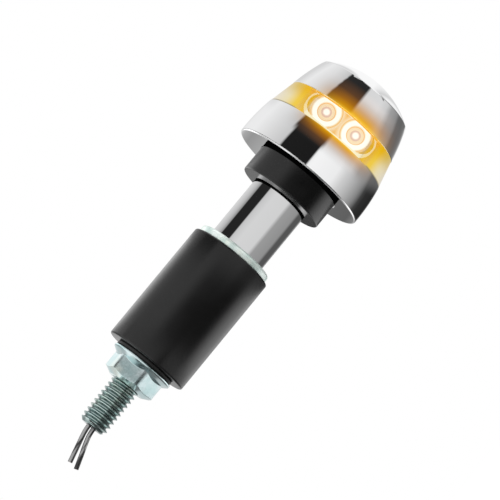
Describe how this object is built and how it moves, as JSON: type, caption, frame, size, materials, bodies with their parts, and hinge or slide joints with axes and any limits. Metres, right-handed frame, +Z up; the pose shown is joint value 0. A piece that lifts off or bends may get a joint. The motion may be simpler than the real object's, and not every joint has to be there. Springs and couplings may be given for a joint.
{
  "type": "turn signal indicator",
  "caption": "Bar-end motorcycle turn signal: domed chrome head with a clear amber-lit band, spacer tube, and a rubber sleeve that a nut squeezes to grip the handlebar.",
  "frame": {"origin": "centre of the head's underside, which rests against the end of the handlebar", "axes": "+X along the handlebar's axis, outboard towards the domed cap; +Z up; the two pairs of LEDs face -Y and +Y"},
  "size_m": [0.0927, 0.0278, 0.0278],
  "materials": {
    "cap_chrome": "mirror polished",
    "base_chrome": "mirror polished",
    "lens_clear": "clear, polished",
    "seal_rubber": "matt",
    "core_aluminium": "machined",
    "board_green": "solder mask",
    "led_board_white": "white solder mask",
    "chip_black": "moulded",
    "solder": "bright solder",
    "led_amber": "lit amber",
    "optic_clear": "clear, polished",
    "optic_rim": "bright metallised",
    "screw_steel": "plain steel",
    "collar_black": "satin",
    "tube_chrome": "polished",
    "washer_zinc": "blue-white zinc plate",
    "sleeve_rubber": "satin, moulded",
    "slip_black": "matt",
    "nut_zinc": "blue-white zinc plate",
    "stud_zinc": "dull zinc plate",
    "plug_rubber": "matt",
    "wire_insulation": "smooth PVC",
    "wire_copper": "tinned copper strands"
  },
  "bodies": {
    "lamp": {"end_cap": "cap_chrome", "base_housing": "base_chrome", "lens_band": "lens_clear", "lens_seal_lower": "seal_rubber", "lens_seal_upper": "seal_rubber", "cap_screws": "screw_steel", "heat_sink_core": "core_aluminium", "driver_board": "board_green", "driver_components": "chip_black", "solder_joints": "solder", "front_led_board": "led_board_white", "rear_led_board": "led_board_white", "front_leds": "led_amber", "rear_leds": "led_amber", "front_optic": "optic_clear", "rear_optic": "optic_clear", "front_optic_frame": "optic_rim", "rear_optic_frame": "optic_rim", "hollow_stud": "stud_zinc", "wire_plug": "plug_rubber", "centring_collar": "collar_black", "spacer_tube": "tube_chrome", "upper_washer": "washer_zinc", "expander_sleeve": "sleeve_rubber", "signal_wire": "wire_insulation", "ground_wire": "wire_insulation", "signal_wire_core": "wire_copper", "ground_wire_core": "wire_copper"},
    "slip_washer": {"slip_washer": "slip_black"},
    "clamp_nut": {"clamp_nut": "nut_zinc"}
  },
  "joints": [
    {"name": "clamp_travel", "type": "slide", "parent": "lamp", "child": "slip_washer", "axis": [1, 0, 0], "range_m": [0, 0.00325], "deforming": ["expander_sleeve"]},
    {"name": "nut_turn", "type": "hinge", "parent": "slip_washer", "child": "clamp_nut", "pos_m": [-0.0486, 0, 0], "axis": [1, 0, 0], "range_deg": [0, 1170]}
  ],
  "couplings": [
    {"joint": "nut_turn", "follows": "clamp_travel", "rad_per_m": 6283.2}
  ]
}
